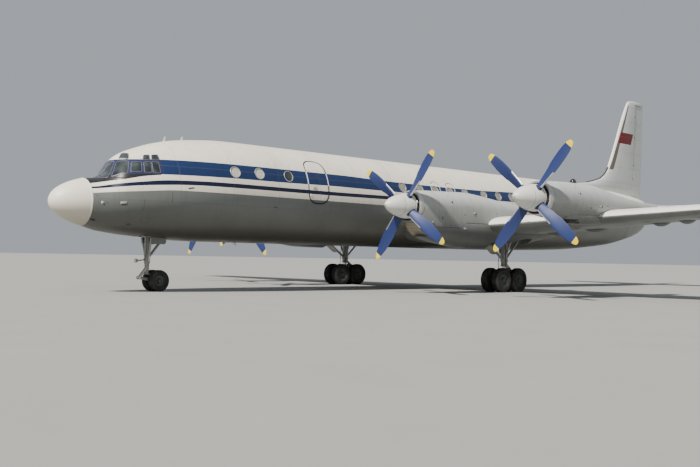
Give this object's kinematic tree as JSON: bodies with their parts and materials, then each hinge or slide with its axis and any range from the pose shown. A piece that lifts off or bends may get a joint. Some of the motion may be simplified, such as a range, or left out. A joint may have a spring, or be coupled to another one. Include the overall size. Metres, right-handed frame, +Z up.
{
  "type": "narrow body propeller airliner",
  "caption": "Low-wing narrow body airliner with propeller engines on the wings, parked on wheeled legs; propellers, wheels, nose steering and control surfaces turn.",
  "frame": {"origin": "on the ground under the middle of the overall box, on the plane of symmetry", "axes": "+X to port along the span, +Y aft, +Z up; the nose points along -Y"},
  "size_m": [37.42, 35.9, 10.17],
  "materials": {
    "white_paint": "satin",
    "grey_paint": "satin",
    "blade_blue": "satin",
    "gear_metal": "satin",
    "engine_steel": "satin",
    "tyre_rubber": "matte"
  },
  "bodies": {
    "airframe": {"engine_inner_port": "engine_steel", "engine_inner_starboard": "engine_steel", "engine_outer_port": "engine_steel", "engine_outer_starboard": "engine_steel", "entry_door_front": "white_paint", "entry_door_rear": "white_paint", "fin": "white_paint", "flap_inner_port": "grey_paint", "flap_inner_starboard": "grey_paint", "flap_outer_port": "grey_paint", "flap_outer_starboard": "grey_paint", "fuselage": "white_paint", "main_bogie_port": "gear_metal", "main_bogie_starboard": "gear_metal", "main_leg_port": "gear_metal", "main_leg_starboard": "gear_metal", "nacelle_inner_port": "grey_paint", "nacelle_inner_starboard": "grey_paint", "nacelle_outer_port": "grey_paint", "nacelle_outer_starboard": "grey_paint", "nose_bay_door_port": "white_paint", "nose_bay_door_starboard": "white_paint", "nose_leg": "gear_metal", "radome": "white_paint", "tailplane_port": "white_paint", "tailplane_starboard": "white_paint", "wing_port": "white_paint", "wing_starboard": "white_paint"},
    "propeller_inner_port": {"propeller_inner_port": "blade_blue"},
    "propeller_inner_starboard": {"propeller_inner_starboard": "blade_blue"},
    "propeller_outer_port": {"propeller_outer_port": "blade_blue"},
    "propeller_outer_starboard": {"propeller_outer_starboard": "blade_blue"},
    "nose_fork": {"nose_fork": "gear_metal"},
    "nose_wheels": {"nose_axle": "gear_metal", "nose_tyre_port": "tyre_rubber", "nose_tyre_starboard": "tyre_rubber"},
    "main_wheels_front_port": {"main_axle_front_port": "gear_metal", "main_tyre_front_inboard_port": "tyre_rubber", "main_tyre_front_outboard_port": "tyre_rubber"},
    "main_wheels_rear_port": {"main_axle_rear_port": "gear_metal", "main_tyre_rear_inboard_port": "tyre_rubber", "main_tyre_rear_outboard_port": "tyre_rubber"},
    "main_wheels_front_starboard": {"main_axle_front_starboard": "gear_metal", "main_tyre_front_inboard_starboard": "tyre_rubber", "main_tyre_front_outboard_starboard": "tyre_rubber"},
    "main_wheels_rear_starboard": {"main_axle_rear_starboard": "gear_metal", "main_tyre_rear_inboard_starboard": "tyre_rubber", "main_tyre_rear_outboard_starboard": "tyre_rubber"},
    "rudder": {"rudder": "white_paint"},
    "aileron_port": {"aileron_port": "grey_paint"},
    "aileron_starboard": {"aileron_starboard": "grey_paint"},
    "elevator_port": {"elevator_port": "grey_paint"},
    "elevator_starboard": {"elevator_starboard": "grey_paint"}
  },
  "joints": [
    {"name": "propeller_spin_inner_port", "type": "hinge", "parent": "airframe", "child": "propeller_inner_port", "pos_m": [4.5, -7.14, 3.05], "axis": [0, 1, 0], "continuous": true},
    {"name": "propeller_spin_inner_starboard", "type": "hinge", "parent": "airframe", "child": "propeller_inner_starboard", "pos_m": [-4.5, -7.14, 3.05], "axis": [0, 1, 0], "continuous": true},
    {"name": "propeller_spin_outer_port", "type": "hinge", "parent": "airframe", "child": "propeller_outer_port", "pos_m": [9.08, -6.12, 3.24], "axis": [0, 1, 0], "continuous": true},
    {"name": "propeller_spin_outer_starboard", "type": "hinge", "parent": "airframe", "child": "propeller_outer_starboard", "pos_m": [-9.08, -6.12, 3.24], "axis": [0, 1, 0], "continuous": true},
    {"name": "nose_steering", "type": "hinge", "parent": "airframe", "child": "nose_fork", "pos_m": [0, -14.53, 0.9], "axis": [0, 0, 1], "range_deg": [-45, 45]},
    {"name": "nose_wheels_roll", "type": "hinge", "parent": "nose_fork", "child": "nose_wheels", "pos_m": [0, -14.19, 0.35], "axis": [1, 0, 0], "continuous": true},
    {"name": "main_wheels_roll_front_port", "type": "hinge", "parent": "airframe", "child": "main_wheels_front_port", "pos_m": [4.5, -1.91, 0.465], "axis": [1, 0, 0], "continuous": true},
    {"name": "main_wheels_roll_rear_port", "type": "hinge", "parent": "airframe", "child": "main_wheels_rear_port", "pos_m": [4.5, -0.91, 0.465], "axis": [1, 0, 0], "continuous": true},
    {"name": "main_wheels_roll_front_starboard", "type": "hinge", "parent": "airframe", "child": "main_wheels_front_starboard", "pos_m": [-4.5, -1.91, 0.465], "axis": [1, 0, 0], "continuous": true},
    {"name": "main_wheels_roll_rear_starboard", "type": "hinge", "parent": "airframe", "child": "main_wheels_rear_starboard", "pos_m": [-4.5, -0.91, 0.465], "axis": [1, 0, 0], "continuous": true},
    {"name": "rudder_swing", "type": "hinge", "parent": "airframe", "child": "rudder", "pos_m": [0, 16.01, 4.9], "axis": [0, 0.0455, 0.999], "range_deg": [-20, 20]},
    {"name": "aileron_swing_port", "type": "hinge", "parent": "airframe", "child": "aileron_port", "pos_m": [11.872, -0.32722, 2.87366], "axis": [0.9972, -0.0502, 0.0563], "range_deg": [-20, 20]},
    {"name": "aileron_swing_starboard", "type": "hinge", "parent": "airframe", "child": "aileron_starboard", "pos_m": [-11.872, -0.32722, 2.87366], "axis": [0.9972, 0.0502, -0.0563], "range_deg": [-20, 20]},
    {"name": "elevator_swing_port", "type": "hinge", "parent": "airframe", "child": "elevator_port", "pos_m": [0.76, 16.13, 4.15], "axis": [1, 0, 0], "range_deg": [-15, 25]},
    {"name": "elevator_swing_starboard", "type": "hinge", "parent": "airframe", "child": "elevator_starboard", "pos_m": [-0.76, 16.13, 4.15], "axis": [1, 0, 0], "range_deg": [-15, 25]}
  ],
  "couplings": [
    {"joint": "aileron_swing_starboard", "follows": "aileron_swing_port", "ratio": -1},
    {"joint": "elevator_swing_starboard", "follows": "elevator_swing_port", "ratio": 1}
  ]
}
